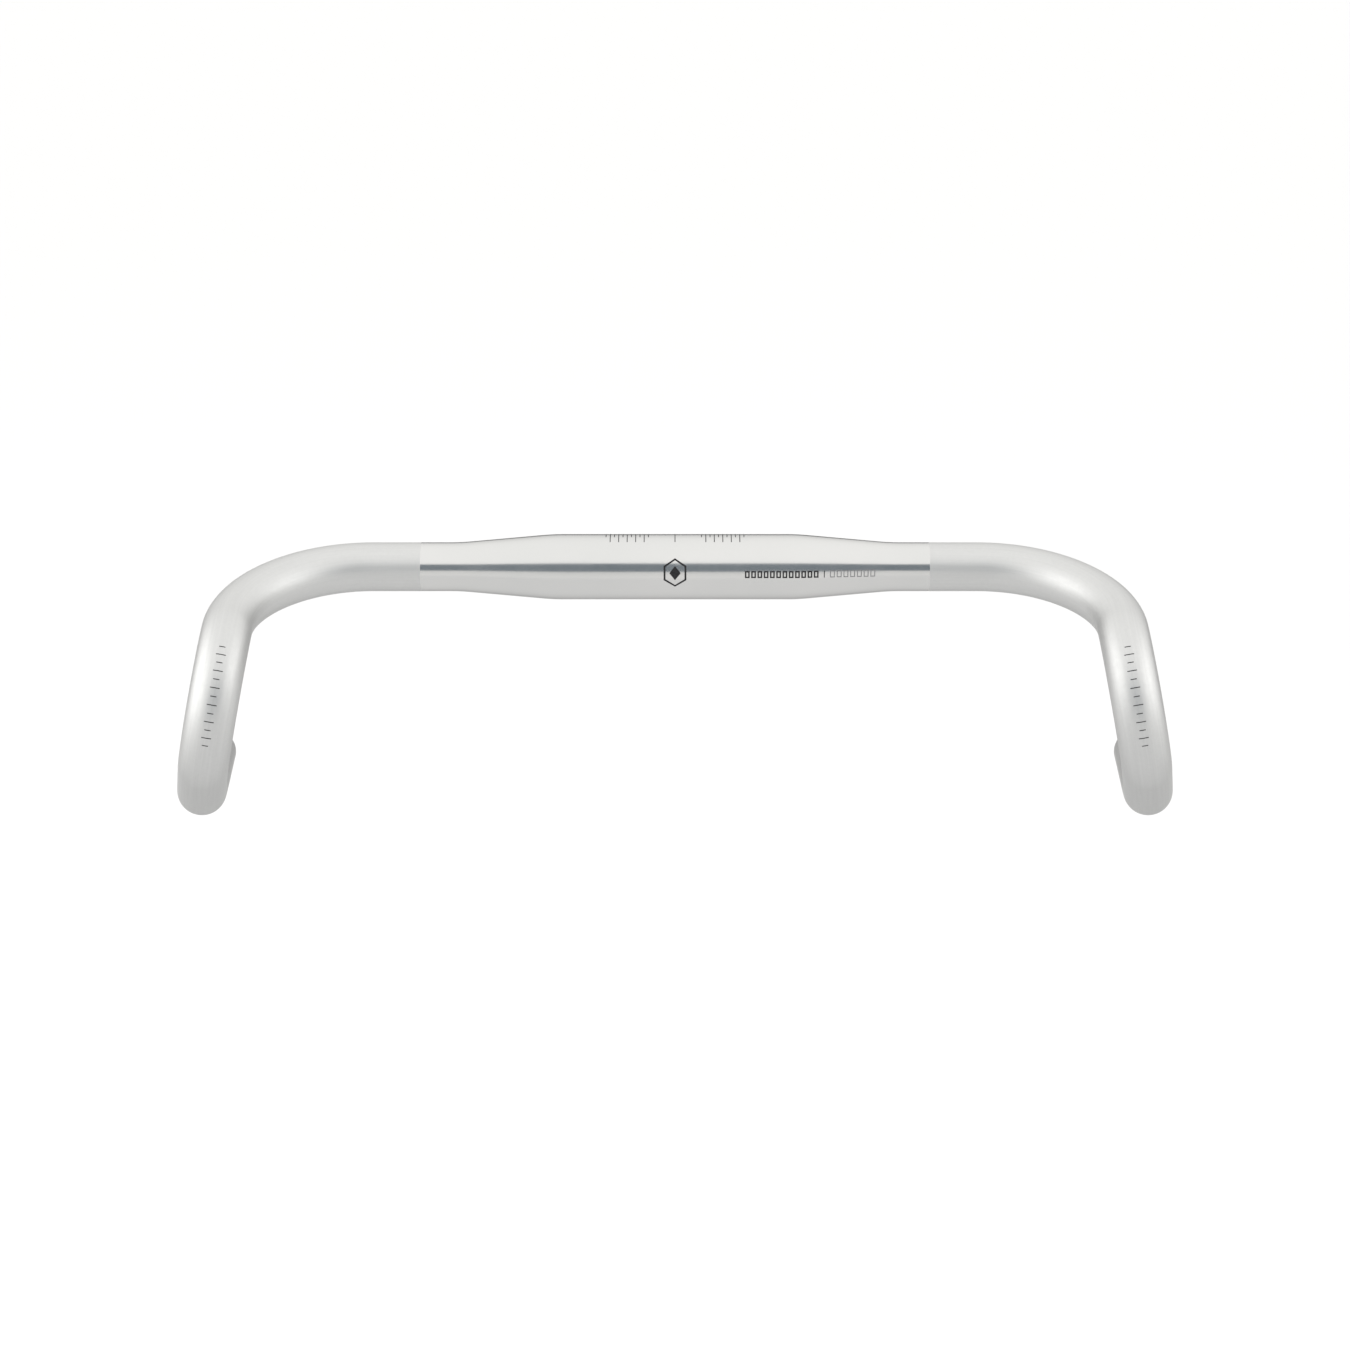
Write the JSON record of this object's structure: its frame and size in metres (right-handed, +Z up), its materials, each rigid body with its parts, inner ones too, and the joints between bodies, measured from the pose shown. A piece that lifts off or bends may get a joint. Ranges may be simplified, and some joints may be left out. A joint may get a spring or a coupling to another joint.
{
  "type": "drop handlebar",
  "caption": "Bicycle drop handlebar: a bent silver tube with a thicker polished stem clamp zone and flared hooks that curve forward, down and back to open ends.",
  "frame": {"origin": "centre of the stem clamp zone, on the tube's axis", "axes": "+X along the tops to the rider's left end, -Y forward the way the hooks reach, +Z up as the bar sits on a bicycle with its drops about level"},
  "size_m": [0.4914, 0.1402, 0.1362],
  "materials": {
    "tube_alloy": "bead-blasted satin, with a polished centre",
    "dark_ink": "matt printed ink",
    "grey_ink": "matt printed ink"
  },
  "bodies": {
    "root": {"handlebar_tube": "tube_alloy", "centre_mark": "dark_ink", "clamp_scale_left": "dark_ink", "clamp_scale_right": "dark_ink", "lever_scale_left": "dark_ink", "lever_scale_right": "dark_ink", "emblem": "dark_ink", "bold_box_row": "dark_ink", "row_divider": "dark_ink", "light_box_row": "grey_ink"}
  },
  "joints": []
}
